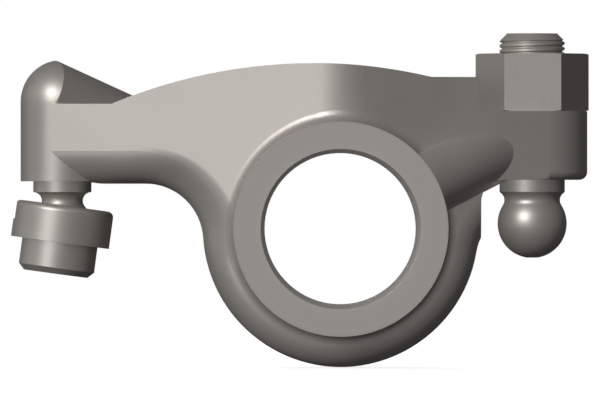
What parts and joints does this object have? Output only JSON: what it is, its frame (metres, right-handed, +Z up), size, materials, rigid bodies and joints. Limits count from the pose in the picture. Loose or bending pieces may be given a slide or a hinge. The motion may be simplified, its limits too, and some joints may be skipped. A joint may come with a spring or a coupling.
{
  "type": "rocker arm",
  "caption": "Forged engine rocker arm on a shaft bore, with a pressed ball pin and swivel foot at the valve end and a ball-ended adjusting screw with lock nut at the push-rod end.",
  "frame": {"origin": "centre of the rocker shaft's bore", "axes": "+X along the arm towards the push-rod end, +Y along the shaft bore away from the front, +Z up"},
  "size_m": [0.1061, 0.053, 0.0611],
  "materials": {
    "forged_steel": "shot-blasted forging with machined bore, hub faces and seats",
    "hardened_steel": "turned, hardened and ground",
    "nut_steel": "machined hexagon with light turning marks on its faces"
  },
  "bodies": {
    "arm": {"rocker_arm": "forged_steel", "ball_pin": "hardened_steel"},
    "foot": {"swivel_foot": "hardened_steel"},
    "screw": {"adjusting_screw": "hardened_steel"},
    "nut": {"lock_nut": "nut_steel"}
  },
  "joints": [
    {"name": "foot_tilt", "type": "hinge", "parent": "arm", "child": "foot", "pos_m": [-0.0511, 0, 0.00075], "axis": [0, 1, 0], "range_deg": [-19.75, 4.25]},
    {"name": "adjuster_travel", "type": "slide", "parent": "arm", "child": "screw", "axis": [0, 0, 1], "range_m": [-0.003, 0.004]},
    {"name": "lock_nut_turn", "type": "hinge", "parent": "arm", "child": "nut", "pos_m": [0.0352, 0, 0.0269], "axis": [0, 0, 1], "continuous": true}
  ]
}
